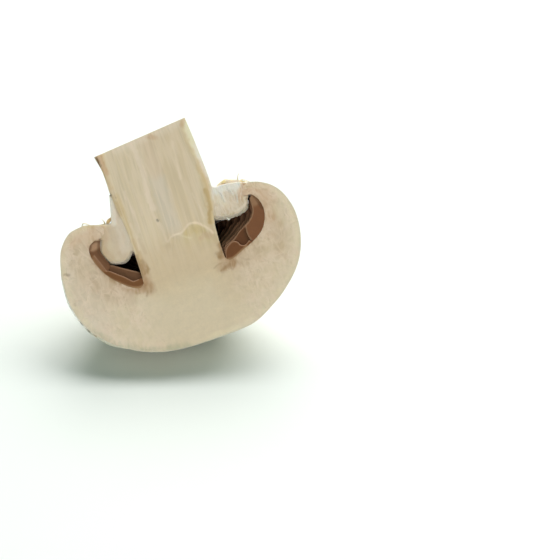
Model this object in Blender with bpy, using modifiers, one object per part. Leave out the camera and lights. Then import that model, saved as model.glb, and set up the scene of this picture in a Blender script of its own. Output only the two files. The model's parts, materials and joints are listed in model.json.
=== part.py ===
"""Half of a button mushroom, cut lengthwise, lying on the back of its cap with the stem in the air.

The mushroom is drawn first in its own frame, in millimetres: Z runs along the stem from the top of the
cap (0) to the cut stem end, X lies across the cut face and the flesh is behind it, at positive Y.
The empty "rest_pose" then leans it over and sets it down on the ground plane Z = 0.
"""

import math

import bmesh
import bpy
from mathutils import Matrix, Vector

MM = 0.001

# How it lies
LEAN_DEG = 17.0          # the stem leans towards -X, within the cut face
RECLINE_DEG = 38.0       # the cut face leans back from upright, so that it faces half up
REST_DEPTH = 0.6         # how far the back of the cap is flattened where it lies

# Sizes, in mm
STEM_END_HEIGHT = 40.65  # height of the cut stem end at the axis
STEM_END_SLOPE = 0.12    # the stem was cut a little askew
GAP = 0.3                # clearance between pieces that grow together
RIM_DROP = 1.2           # the rim is this much lower half way round than at the two cut edges
STEM_SWELLING = 1.4      # the stem bulges just behind the -X cut edge, where the veil joined it
GILL_THICKNESS = 0.45
SHORT_GILL_THICKNESS = 0.38

# Counts
FULL_GILLS = 23
STEPS_ROUND = 30         # sections between one cut edge and the other
POINTS_A_SPAN = 2        # points that a smooth outline gets between two of its own

# Every outline is given at both cut edges, which grew unlike each other: first at +X, then at -X.
# A point is (distance from the stem's axis, height above the top of the cap).
CAP_OUTSIDE = (
    [(0, 0.3), (4.7, 0.5), (9.4, 0.9), (14.3, 3.3), (17.6, 5.7), (20.3, 8.4), (22.1, 11.4),
     (23.2, 15.0), (23.4, 18.8), (22.5, 22.2), (20.9, 24.5), (18.7, 25.9), (16.7, 26.5)],
    [(0, 0.3), (4.5, 0.4), (9.0, 1.2), (13.5, 2.9), (17.0, 5.2), (19.8, 8.2), (21.4, 11.2),
     (22.3, 15.0), (22.2, 19.0), (21.6, 22.3), (20.5, 25.0), (18.3, 27.2), (15.4, 27.8)],
)
RIM_INSIDE = (
    [(16.7, 26.5), (15.6, 26.1), (15.0, 25.2), (14.8, 24.6), (15.5, 24.3), (16.4, 24.2)],
    [(15.4, 27.8), (13.0, 27.2), (12.0, 26.3), (12.1, 25.4), (12.9, 24.7), (14.2, 24.5)],
)
GILL_BED = (
    [(16.4, 24.2), (17.4, 23.0), (17.9, 21.0), (17.4, 18.8), (16.1, 16.9), (14.1, 15.6),
     (12.0, 14.7), (10.0, 13.8), (8.7, 13.5), (8.0, 14.2)],
    [(14.2, 24.5), (15.4, 23.9), (15.9, 22.5), (15.5, 20.4), (14.4, 18.1), (13.2, 16.5),
     (11.6, 15.0), (10.1, 13.9), (8.8, 13.5), (8.0, 14.2)],
)
STEM_OUTSIDE = (
    [(8.0, 14.2), (7.9, 17.0), (8.1, 20.5), (8.7, 23.3), (9.6, 26.0), (9.8, 29.5), (9.6, 33.5),
     (9.3, 37.5), (9.0, 40.65)],
    [(8.0, 14.2), (7.9, 17.0), (7.9, 20.5), (7.9, 23.3), (8.1, 26.0), (8.6, 29.5), (8.8, 33.5),
     (8.9, 37.5), (9.5, 40.65)],
)
VEIL = (
    [(8.8, 21.7), (10.0, 21.6), (11.2, 21.0), (12.6, 21.3), (14.2, 21.8), (15.2, 22.7), (15.1, 23.7),
     (14.4, 24.4), (14.6, 25.4), (15.2, 26.5), (14.3, 27.4), (12.6, 27.7), (10.9, 27.1), (10.1, 26.4),
     (9.5, 24.8), (9.0, 23.2)],
    [(8.3, 20.6), (9.2, 19.6), (10.4, 19.2), (11.8, 19.4), (12.9, 20.2), (13.6, 21.4), (13.6, 22.8),
     (12.8, 24.0), (11.8, 24.9), (11.6, 25.8), (11.3, 26.5), (10.6, 26.4), (9.8, 26.3), (8.9, 26.6),
     (8.3, 24.6), (8.2, 22.6)],
)
# The free edge of a gill, from the rim down to the stem
GILL_EDGE = (
    [(15.6, 23.5), (16.0, 22.5), (16.0, 21.2), (15.2, 19.9), (13.4, 18.6), (11.6, 17.4), (9.8, 16.4),
     (8.5, 15.3)],
    [(13.9, 23.7), (14.1, 22.5), (14.0, 21.3), (13.4, 20.2), (12.3, 19.1), (11.0, 18.2), (9.7, 17.1),
     (8.5, 16.2)],
)


def smooth(edge0, edge1, x):
    """0 below edge0, 1 above edge1, and an S curve between them."""
    t = min(max((x - edge0) / (edge1 - edge0), 0.0), 1.0)
    return t * t * (3 - 2 * t)


def spline(points, closed=False, per_span=POINTS_A_SPAN):
    """A smooth curve through the given points, without the repeated end of a closed one."""
    points = [Vector(p) for p in points]
    count = len(points)

    def at(i):
        return points[i % count] if closed else points[min(max(i, 0), count - 1)]

    curve = []
    for i in range(count if closed else count - 1):
        a, b, c, d = at(i - 1), at(i), at(i + 1), at(i + 2)
        for k in range(per_span):
            t = k / per_span
            curve.append(0.5 * (2 * b + (c - a) * t + (2 * a - 5 * b + 4 * c - d) * t ** 2
                                + (3 * b - a - 3 * c + d) * t ** 3))
    return curve if closed else curve + [points[-1]]


def swelling(angle, height):
    """How far the stem stands out beyond its outline, mostly just behind the cut edge at -X."""
    side = smooth(1.7, 2.6, angle) * (1 - smooth(2.85, math.pi, angle))
    return STEM_SWELLING * side * smooth(19, 25, height) * (1 - smooth(26, 33, height))


def between(pair, angle):
    """The outline that an outline pair has at this angle round the stem, 0 at +X and pi at -X."""
    share = smooth(0, math.pi, angle)
    drop = RIM_DROP * math.sin(angle) ** 2
    outline = []
    for right, left in zip(*pair):
        r, h = Vector(right).lerp(Vector(left), share)
        outline.append((r + swelling(angle, h) * (1 - smooth(9.0, 13.0, r)),
                        h - drop * smooth(9.5, 13.0, r) * smooth(15.0, 26.0, h)))
    return outline


def inset(outline, distance):
    """The open outline moved sideways by this distance, to the right of its direction."""
    moved = []
    for i, point in enumerate(outline):
        along = outline[min(i + 1, len(outline) - 1)] - outline[max(i - 1, 0)]
        moved.append(point + Vector((along.y, -along.x)).normalized() * distance)
    return moved


def flesh_section(angle):
    """The outline of cap and stem from the top of the cap to the stem end, on one side of the axis."""
    section = []
    for pair in (CAP_OUTSIDE, RIM_INSIDE, GILL_BED, STEM_OUTSIDE):
        section += spline(between(pair, angle))[:-1]
    section.append(Vector(between(STEM_OUTSIDE, angle)[-1]))
    rim = section[-1].x
    section += [Vector((rim * share, section[-1].y)) for share in (0.66, 0.33, 0)]
    for point in section:
        # a cap is never quite round
        point.x *= 1 - 0.012 * math.sin(3 * angle) * smooth(9.5, 20, point.x)
        # the stem end slopes
        askew = smooth(30, STEM_END_HEIGHT, point.y)
        point.y += askew * STEM_END_SLOPE * point.x * math.cos(angle)
    return section


def veil_section(angle):
    return spline(between(VEIL, angle), closed=True)


def gill_section(angle, reach, height):
    """A gill from the rim to the share "reach" of its bed, standing "height" of the way to the free edge."""
    bed = inset(spline(between(GILL_BED, angle), per_span=1), GAP)[1:-1]
    edge = spline(between(GILL_EDGE, angle), per_span=3)
    last = round(reach * (len(bed) - 1))
    outline = bed[:last + 1]
    top = []
    for i in range(last + 1):
        along = i / (len(bed) - 1) * (len(edge) - 1)
        a = edge[int(along)]
        b = edge[min(int(along) + 1, len(edge) - 1)]
        free = a.lerp(b, along - int(along))
        tall = height * (1 if reach == 1 else 1 - (i / (last + 1)) ** 3)
        top.append(bed[i].lerp(free, tall))
    return outline + top[::-1]


def add_object(name, mesh, material, collection, parent):
    mesh.materials.append(material)
    for polygon in mesh.polygons:
        polygon.use_smooth = True
    mesh.set_sharp_from_angle(angle=math.radians(40))
    piece = bpy.data.objects.new(name, mesh)
    piece.parent = parent
    collection.objects.link(piece)
    return piece


def loft(name, section_at, poles):
    """A solid from the sections at every angle from one cut edge to the other, closed by the cut faces."""
    mesh_data = bmesh.new()
    rings = []
    for i in range(STEPS_ROUND + 1):
        angle = math.pi * i / STEPS_ROUND
        turn = Vector((math.cos(angle), max(math.sin(angle), 0) if 0 < i < STEPS_ROUND else 0))
        points = [Vector((p.x * turn.x, p.x * turn.y, p.y)) * MM for p in section_at(angle)]
        if poles and rings:
            first, last = rings[0][0], rings[0][-1]
            ring = [first] + [mesh_data.verts.new(p) for p in points[1:-1]] + [last]
        else:
            ring = [mesh_data.verts.new(p) for p in points]
        rings.append(ring)
    for ring, following in zip(rings, rings[1:]):
        spans = list(zip(ring, ring[1:], following, following[1:]))
        if not poles:
            spans.append((ring[-1], ring[0], following[-1], following[0]))
        for a, b, c, d in spans:
            corners = list(dict.fromkeys((a, c, d, b)))
            mesh_data.faces.new(corners)
    open_edges = [edge for edge in mesh_data.edges if edge.is_boundary]
    bmesh.ops.holes_fill(mesh_data, edges=open_edges)
    bmesh.ops.recalc_face_normals(mesh_data, faces=mesh_data.faces)
    mesh = bpy.data.meshes.new(name)
    mesh_data.to_mesh(mesh)
    mesh_data.free()
    return mesh


def gill_mesh(name, outline):
    """The gill's side as one flat face, in the plane of X and Z. Solidify gives it its thickness."""
    mesh_data = bmesh.new()
    mesh_data.faces.new([mesh_data.verts.new((p.x * MM, 0, p.y * MM)) for p in outline])
    mesh = bpy.data.meshes.new(name)
    mesh_data.to_mesh(mesh)
    mesh_data.free()
    return mesh


def add_gill(name, angle, reach, height, thickness, inwards, collection, parent):
    piece = add_object(name, gill_mesh(name, gill_section(angle, reach, height)), GILL, collection, parent)
    piece.rotation_euler.z = angle
    piece.location.y = inwards * MM
    wall = piece.modifiers.new("thickness", "SOLIDIFY")
    wall.thickness = thickness * MM
    wall.offset = 0
    return piece


def material(name, colour, roughness):
    made = bpy.data.materials.new(name)
    made.use_nodes = True
    shader = made.node_tree.nodes["Principled BSDF"]
    shader.inputs["Base Color"].default_value = (*colour, 1)
    shader.inputs["Roughness"].default_value = roughness
    shader.inputs["Metallic"].default_value = 0
    return made


for old in list(bpy.data.objects):
    bpy.data.objects.remove(old, do_unlink=True)

FLESH = material("flesh", (0.60, 0.51, 0.37), 0.6)
VEIL_SKIN = material("veil", (0.69, 0.62, 0.48), 0.7)
GILL = material("gill", (0.17, 0.075, 0.035), 0.65)

mushroom = bpy.data.collections.new("button_mushroom_half")
cutters = bpy.data.collections.new("cutters")
for group in (mushroom, cutters):
    bpy.context.scene.collection.children.link(group)

pose = bpy.data.objects.new("rest_pose", None)
mushroom.objects.link(pose)
pose.matrix_world = (Matrix.Rotation(math.radians(-RECLINE_DEG), 4, "X")
                     @ Matrix.Rotation(math.radians(-LEAN_DEG), 4, "Y"))
bpy.context.view_layer.update()

flesh = add_object("cap_and_stem", loft("cap_and_stem", flesh_section, True), FLESH, mushroom, pose)
add_object("veil", loft("veil", veil_section, False), VEIL_SKIN, mushroom, pose)

pitch = math.pi / (FULL_GILLS - 1)
for k in range(FULL_GILLS):
    # the two gills at the cut edges lie just behind the cut face, all along it
    at_edge = k in (0, FULL_GILLS - 1)
    add_gill(f"gill_{k + 1:02d}", k * pitch, 1, 1, GILL_THICKNESS,
             0.25 + GILL_THICKNESS / 2 if at_edge else 0, mushroom, pose)
for k in range(FULL_GILLS - 1):
    nudge = {0: 1, FULL_GILLS - 2: -1}.get(k, 0) * math.radians(0.8)
    add_gill(f"short_gill_{k + 1:02d}", (k + 0.5) * pitch + nudge, 0.62, 0.8, SHORT_GILL_THICKNESS,
             0, mushroom, pose)

# Set the mushroom down: its lowest point goes REST_DEPTH below the ground, and what is below is cut off.
bpy.context.view_layer.update()
placed = [pose.matrix_world @ vertex.co for vertex in flesh.data.vertices]
lowest = min(placed, key=lambda point: point.z)
pose.location = (-lowest.x, -lowest.y, -lowest.z - REST_DEPTH * MM)

bpy.ops.mesh.primitive_cube_add(size=0.06, location=(0, 0, -0.03))
ground = bpy.context.active_object
ground.name = "ground_cutter"
for group in list(ground.users_collection):
    group.objects.unlink(ground)
cutters.objects.link(ground)
ground.hide_render = True
ground.display_type = "WIRE"
slice_off = flesh.modifiers.new("rest_spot", "BOOLEAN")
slice_off.operation = "DIFFERENCE"
slice_off.object = ground
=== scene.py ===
import json
import math

import bmesh
import bpy
import numpy as np
from mathutils import Matrix, Vector, noise
from mathutils.kdtree import KDTree


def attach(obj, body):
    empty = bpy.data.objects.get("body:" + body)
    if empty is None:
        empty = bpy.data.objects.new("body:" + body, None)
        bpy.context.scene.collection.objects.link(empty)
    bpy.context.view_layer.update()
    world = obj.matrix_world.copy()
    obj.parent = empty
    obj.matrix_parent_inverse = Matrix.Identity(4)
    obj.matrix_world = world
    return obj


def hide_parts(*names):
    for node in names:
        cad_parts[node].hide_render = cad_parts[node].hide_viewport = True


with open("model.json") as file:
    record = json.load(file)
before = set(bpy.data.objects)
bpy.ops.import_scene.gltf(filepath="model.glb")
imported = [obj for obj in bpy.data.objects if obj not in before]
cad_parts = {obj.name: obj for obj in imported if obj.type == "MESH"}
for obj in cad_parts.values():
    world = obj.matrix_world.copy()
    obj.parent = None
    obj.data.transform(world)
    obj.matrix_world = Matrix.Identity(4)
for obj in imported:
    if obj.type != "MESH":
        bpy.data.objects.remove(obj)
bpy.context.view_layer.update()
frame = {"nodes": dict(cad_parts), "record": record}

# %% [markdown]
# # Half a button mushroom
# A button mushroom was cut lengthwise with one stroke of a knife, and this half lies on the back of
# its cap. The solid model is already there, as the fixed frame: one solid of flesh, a veil, and a
# plate for each of its 45 gills. This lesson gives them their fine surfaces and their colours. The
# finished mushroom may not outgrow it.

# %% [markdown]
# ## The mushroom's own frame
# The half leans back and to the left, so its parts are awkward to describe along the room's axes.
# It is far easier in the mushroom's own frame, in millimetres: x across the cut face, y into the
# flesh behind it, z along the stem, from 0 at the top of the cap. The record's mount on the cut
# face gives the direction of y and one point of the plane. Two numbers complete the frame: how far
# the stem leans in that plane, and where the mount's point is as the mushroom sees it.

# %% A matrix from the room to the mushroom
MM = 0.001
STEM_LEAN = math.radians(17.0)
MOUNT_PLACE = Vector((2, 0, 8))

cut_mount = next(m for m in frame["record"]["mounts"] if m["name"] == "cut_face")
into_flesh = -Vector(cut_mount["axis"]).normalized()
upright = Matrix.Rotation(-math.acos(into_flesh.y), 3, "X") @ Matrix.Rotation(-STEM_LEAN, 3, "Y")
room_from_mushroom = (Matrix.Translation(Vector(cut_mount["pos_m"]) - upright @ MOUNT_PLACE * MM)
                      @ upright.to_4x4() @ Matrix.Scale(MM, 4))
mushroom_from_room = room_from_mushroom.inverted()
for name in ("cap_and_stem", "veil"):
    corners = [mushroom_from_room @ v.co for v in frame["nodes"][name].data.vertices]
    spans = [f"{min(c[i] for c in corners):.1f}..{max(c[i] for c in corners):.1f}" for i in range(3)]
    print(name, "spans", spans)

# %% [markdown]
# ## The flesh
# Cap and stem are one piece of flesh. The solid model has its shape, but its facets are millimetres
# long, too coarse for the fine unevenness of a skin and for the colours that we paint on its points.
# A Remesh modifier in its Sharp mode lays an even net over the solid and keeps the knife's crisp edge,
# which the smooth modes would round off. The cut face is the part seen best, so its net is halved
# once more.

# %% Helpers that bring a solid into the mushroom's frame and back
def new_object(name, shape):
    """A new object from a bmesh, which is freed."""
    piece = bpy.data.objects.new(name, bpy.data.meshes.new(name))
    shape.to_mesh(piece.data)
    shape.free()
    bpy.context.scene.collection.objects.link(piece)
    return piece


def solid_copy(node):
    """A merged copy of a node of the solid model, as a bmesh in the mushroom's frame."""
    shape = bmesh.new()
    shape.from_mesh(frame["nodes"][node].data)
    bmesh.ops.remove_doubles(shape, verts=shape.verts, dist=1e-7)
    bmesh.ops.transform(shape, matrix=mushroom_from_room, verts=shape.verts)
    return shape


def remeshed(shape, name, cell):
    """The shape under an even net of about this cell size, as a bmesh."""
    piece = new_object(name, shape)
    side = max(piece.dimensions)
    net = piece.modifiers.new("net", "REMESH")
    net.mode = "SHARP"
    net.octree_depth = math.ceil(math.log2(side / cell))
    net.scale = side / (cell * 2 ** net.octree_depth)
    fine = bmesh.new()
    fine.from_object(piece, bpy.context.evaluated_depsgraph_get())
    bpy.data.objects.remove(piece, do_unlink=True)
    return fine


def points_of(shape):
    """The bmesh's points and normals as arrays."""
    shape.normal_update()
    return np.array([v.co for v in shape.verts]), np.array([v.normal for v in shape.verts])


def smoothed(shape, verts, rounds):
    """Even out these points of the shape, a number of times."""
    for _ in range(rounds):
        bmesh.ops.smooth_vert(shape, verts=verts, factor=0.5,
                              use_axis_x=True, use_axis_y=True, use_axis_z=True)


def moved(shape, shifts):
    """Move each point of the shape by its own shift."""
    for vertex, shift in zip(shape.verts, shifts):
        vertex.co += Vector(shift)


def smoothstep(low, high, x):
    """0 below low, 1 above high, smooth between them."""
    t = np.clip((x - low) / (high - low), 0, 1)
    return t * t * (3 - 2 * t)


def grain(points, size, seed=0):
    """Noise of about -1 to 1 whose blotches measure about this size."""
    shift = Vector((17.3, 5.1, 9.7)) * (seed + 1)
    return np.array([noise.fractal(Vector(p) / size + shift, 1.0, 2.0, 3) for p in points])


SOLID_CELL = 0.4
flesh_shape = remeshed(solid_copy("cap_and_stem"), "flesh", SOLID_CELL)
print("flesh:", len(flesh_shape.verts), "points,", len(flesh_shape.faces), "faces")

# %% [markdown]
# The skin is smoothed a little, which removes the facets of the solid. The knife's planes, the cut
# face and the stem end, stay flat. Then the net of the cut face is halved.

# %% Smooth the skin, halve the net of the cut face
STEM_END = 40.65                                     # height of the stem end at the axis
STEM_END_SLOPE = 0.12
IN_PLANE = 0.02                                      # a point this near the cut's plane lies in it


def below_stem_end(x, z):
    return STEM_END + STEM_END_SLOPE * x - z


soft = [v for v in flesh_shape.verts if v.co.y > 0.3 and below_stem_end(v.co.x, v.co.z) > 0.4]
smoothed(flesh_shape, soft, 8)
on_cut = [e for e in flesh_shape.edges if all(abs(v.co.y) < IN_PLANE for v in e.verts)]
bmesh.ops.subdivide_edges(flesh_shape, edges=on_cut, cuts=1, use_grid_fill=True)
bmesh.ops.triangulate(flesh_shape, faces=[f for f in flesh_shape.faces if len(f.verts) > 4])
triangles = sum(len(f.verts) - 2 for f in flesh_shape.faces)
print("flesh:", len(flesh_shape.verts), "points,", triangles, "triangles")

# %% Gather the flesh's points
flesh_shape.verts.ensure_lookup_table()
flesh_at, flesh_out = points_of(flesh_shape)
flesh_is_cut = np.abs(flesh_at[:, 1]) < IN_PLANE
flesh_is_end = ~flesh_is_cut & (below_stem_end(flesh_at[:, 0], flesh_at[:, 2]) < 0.05)
print("points on the cut:", flesh_is_cut.sum(), " on the stem end:", flesh_is_end.sum())

# %% [markdown]
# ## Routes
# Most of what the knife laid bare follows a line: the edge of a gill, a bruise, a fibre, a fold. We
# write such a line as a few points of the cut face, x and z in millimetres, and run a smooth curve
# through them. The distance to that curve then says how strongly a point of the flesh is coloured
# or raised, which works on any net, however its points lie.

# %% Curves through points, and distances to them
PER_SPAN = 6                                         # places on a curve from one point to the next


def curve(points, closed=False, per_span=PER_SPAN):
    """A smooth curve through the points."""
    p = [Vector(q) for q in points]
    ends = (p[-1], p[0], p[1]) if closed else (2 * p[0] - p[1], 2 * p[-1] - p[-2])
    p = [ends[0]] + p + list(ends[1:])
    found = []
    for a, b, c, d in zip(p, p[1:], p[2:], p[3:]):
        for k in range(per_span):
            t = k / per_span
            found.append(0.5 * (2 * b + (c - a) * t + (2 * a - 5 * b + 4 * c - d) * t * t
                                + (3 * b - a - 3 * c + d) * t ** 3))
    return found if closed else found + [p[-2]]


def nearest_on(points, route):
    """For each (x, z), the distance to the route and the nearest place on it."""
    route = np.array(route, float)
    found, foot = np.full(len(points), 1e9), np.zeros((len(points), 2))
    for a, b in zip(route[:-1], route[1:]):
        along = b - a
        t = np.clip((points - a) @ along / max(along @ along, 1e-12), 0, 1)
        here = a + t[:, None] * along
        away = np.linalg.norm(points - here, axis=1)
        closer = away < found
        found[closer], foot[closer] = away[closer], here[closer]
    return found, foot


BED_RIGHT = curve([(16.4, 24.1), (17.2, 22.8), (17.6, 21.0), (17.3, 19.4), (16.5, 17.9), (15.5, 16.8),
                   (14.0, 15.8), (12.5, 15.0), (11.0, 14.3), (9.5, 13.7), (8.5, 13.7), (8.0, 14.4)])
BED_LEFT = curve([(-14.0, 24.3), (-15.2, 23.8), (-15.6, 22.8), (-15.3, 21.0), (-14.9, 19.8),
                  (-14.3, 18.6), (-13.6, 17.5), (-12.6, 16.6), (-11.4, 15.6), (-10.0, 14.6),
                  (-9.3, 14.2), (-8.1, 14.2)])
SKIN_EDGE = curve([(-15.4, 27.8), (-18.3, 27.2), (-20.5, 25.0), (-21.6, 22.3), (-22.2, 19.0),
                   (-22.3, 15.0), (-21.4, 11.2), (-19.8, 8.2), (-17.0, 5.2), (-13.5, 2.9), (-9.0, 1.2),
                   (-4.5, 0.4), (0, 0.3), (4.7, 0.5), (9.4, 0.9), (14.3, 3.3), (17.6, 5.7), (20.3, 8.4),
                   (22.1, 11.4), (23.2, 15.0), (23.4, 18.8), (22.5, 22.2), (20.9, 24.5), (18.7, 25.9),
                   (16.7, 26.5)])
print("gill beds", len(BED_RIGHT), "and", len(BED_LEFT), "points, skin", len(SKIN_EDGE), "points")

# %% [markdown]
# The solid model's outline is a polygon, which shows as soon as its corners catch the light. We pull
# the border of the cut onto the smooth curve of the skin's edge, and let the flesh nearby follow,
# less and less with the distance, like dough.

# %% Round the outline of the cut
PULL_MOST, PULL_REACH = 0.9, 2.5                     # how far the border may move, how deep it is felt
ROUTE_END = 0.05                                     # nearer than this to an end is past it
border = [v for v in flesh_shape.verts if flesh_is_cut[v.index]
          and any(not flesh_is_cut[w.index] for f in v.link_faces for w in f.verts)]
border_xz = np.array([(v.co.x, v.co.z) for v in border])
border_away, border_foot = nearest_on(border_xz, SKIN_EDGE)
ends_away = np.minimum(*(np.linalg.norm(border_foot - np.array(SKIN_EDGE[k]), axis=1) for k in (0, -1)))
fitted = [k for k in range(len(border)) if border_away[k] < PULL_MOST and ends_away[k] > ROUTE_END]
near_border = KDTree(len(fitted))
for n, k in enumerate(fitted):
    near_border.insert(border[k].co, n)
near_border.balance()
pull = np.zeros(flesh_at.shape)
for vertex in flesh_shape.verts:
    _, n, away = near_border.find(vertex.co)
    if away < PULL_REACH:
        share = 1 - smoothstep(0, PULL_REACH, away)
        pull[vertex.index, (0, 2)] = share * (border_foot - border_xz)[fitted[n]]
moved(flesh_shape, pull)
flesh_at, flesh_out = points_of(flesh_shape)
print(f"pulled {len(fitted)} border points by up to {np.linalg.norm(pull, axis=1).max():.2f} mm")

# %% [markdown]
# ## The skin and the relief of the cut
# Skin is never quite even: it has shallow dents, and towards the rim it breaks into fine scales. The
# cut face is nearly flat, but where the knife dragged it raised a thin flap across the middle. Both
# are real shape, so we move points. The skin moves less and less towards the cut and keeps its place
# there, so that the edge stays crisp. Points that would sink into the table are lifted onto it.

# %% Move the points of the skin, raise the flap
DENT_DEPTH, DIMPLE_DEPTH, SCALE_RISE, BULGE_RISE, FLAP_RISE = 0.12, 0.04, 0.16, 0.3, 0.17
FLAP_LINE = curve([(-1.3, 20.2), (-0.5, 20.9), (0.5, 21.05), (1.5, 21.0), (2.3, 21.5), (3.3, 22.1),
                   (4.2, 22.2), (5.2, 21.8), (6.0, 21.0), (6.9, 20.0), (7.2, 19.3)])
FLAP_FOLD = curve([(1.0, 20.9), (2.0, 20.2), (3.0, 19.6)])
SKIN_BULGE = curve([(-22.3, 18), (-22.0, 13), (-20.6, 9.6), (-18, 6.2)])   # the skin stands out here

on_skin = ~(flesh_is_cut | flesh_is_end)
behind_cut = smoothstep(0.0, 1.5, flesh_at[:, 1])
from_chamber = smoothstep(16.0, 18.5, np.hypot(flesh_at[:, 0], flesh_at[:, 1]))
scaly = smoothstep(4, 14, flesh_at[:, 2]) * from_chamber
dents = DENT_DEPTH * grain(flesh_at, 5.0) + DIMPLE_DEPTH * grain(flesh_at, 1.1, seed=1)
scales = SCALE_RISE * np.maximum(0, grain(flesh_at * (1, 1, 1.6), 0.9, seed=2) - 0.15) * scaly
bulge = BULGE_RISE * (1 - smoothstep(0.5, 5.0, nearest_on(flesh_at[:, (0, 2)], SKIN_BULGE)[0]))
flesh_move = np.where(on_skin, behind_cut * (dents + scales + bulge), 0)[:, None] * flesh_out

cut_xz = flesh_at[:, (0, 2)]
flap_away, flap_foot = nearest_on(cut_xz, FLAP_LINE)
below_flap = (cut_xz - flap_foot)[:, 1] < 0
flap_share = np.where(below_flap, 1 - smoothstep(0.2, 1.6, flap_away), 1 - smoothstep(0.0, 0.22, flap_away))
flesh_move[:, 1] -= np.where(flesh_is_cut, FLAP_RISE * flap_share, 0)
moved(flesh_shape, flesh_move)
table_up = (mushroom_from_room.to_3x3() @ Vector((0, 0, 1))).normalized()
for vertex in flesh_shape.verts:
    above_table = (room_from_mushroom @ vertex.co).z / MM
    vertex.co -= table_up * min(above_table, 0)
flesh_at, _ = points_of(flesh_shape)
print(f"skin moved by up to {np.linalg.norm(flesh_move, axis=1).max():.2f} mm")

# %% [markdown]
# ## The colours of the cut
# Freshly cut flesh is cream, but no two places match: it is pinker at the rims, browner where it
# bruised beside the gills and golden along the flanks of the stem. Some coats are painted light and
# shade: a painted glow and painted highlights along edges that the lamp behind lights, painted shade
# in olive under the flap, and a greener painted shade along the lower left edge. We paint it as one
# would with a brush: a list of coats, each with a colour, how strong it is, how wide its core and
# its faded border are, and its route. Noise shakes the routes a little, so that no border is clean.
# The result is stored on the points as a colour attribute, which the material reads.

# %% The brush
def linear(red, green, blue):
    """A linear colour from the usual 0 to 255 values."""
    c = np.array((red, green, blue)) / 255
    return np.where(c <= 0.04045, c / 12.92, ((c + 0.055) / 1.055) ** 2.4)


def covered(colour, tint, share):
    """The colours, with this share of a tint over them at each point."""
    share = share[:, None]
    return colour * (1 - share) + linear(*tint) * share


SMOOTH_ROUTE = 20                                    # a route of more places is a curve already


def coated(colour, xz, coats, shake=0):
    """The colours with the coats laid over them in turn."""
    for tint, strength, core, fade, route in coats:
        away, _ = nearest_on(xz, route if len(route) > SMOOTH_ROUTE else curve(route))
        shaken = away + shake * min(1, fade)
        colour = covered(colour, tint, strength * (1 - smoothstep(core, fade, shaken)))
    return colour


CREAM, STEM_CREAM, STEM_GREY = (232, 214, 185), (231, 212, 181), (226, 211, 190)
STEM_TAN, TAN, DEEP_TAN = (226, 205, 173), (225, 202, 168), (216, 190, 156)
PINKISH, ROSE_TAN, BRUISE = (224, 192, 160), (214, 174, 138), (160, 122, 80)
GOLD, OLIVE, PALE, PALE_ROSE = (226, 196, 138), (224, 204, 160), (246, 232, 200), (246, 226, 204)
GILL_BROWN, DARK_BROWN, SPECK, RUST = (122, 80, 50), (98, 66, 40), (66, 52, 36), (206, 158, 104)
OCHRE, UMBER, WISP_WHITE_AND_GLOW, COOL = (190, 154, 98), (184, 144, 104), (255, 244, 232), (229, 213, 195)
FLAP_OLIVE, DUSKY, EDGE_SHADE_GREEN = (222, 198, 146), (208, 182, 152), (198, 191, 160)
GLOW, STEM_DUSK, EDGE_BROWN = (255, 246, 214), (226, 203, 174), (176, 138, 100)

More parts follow.
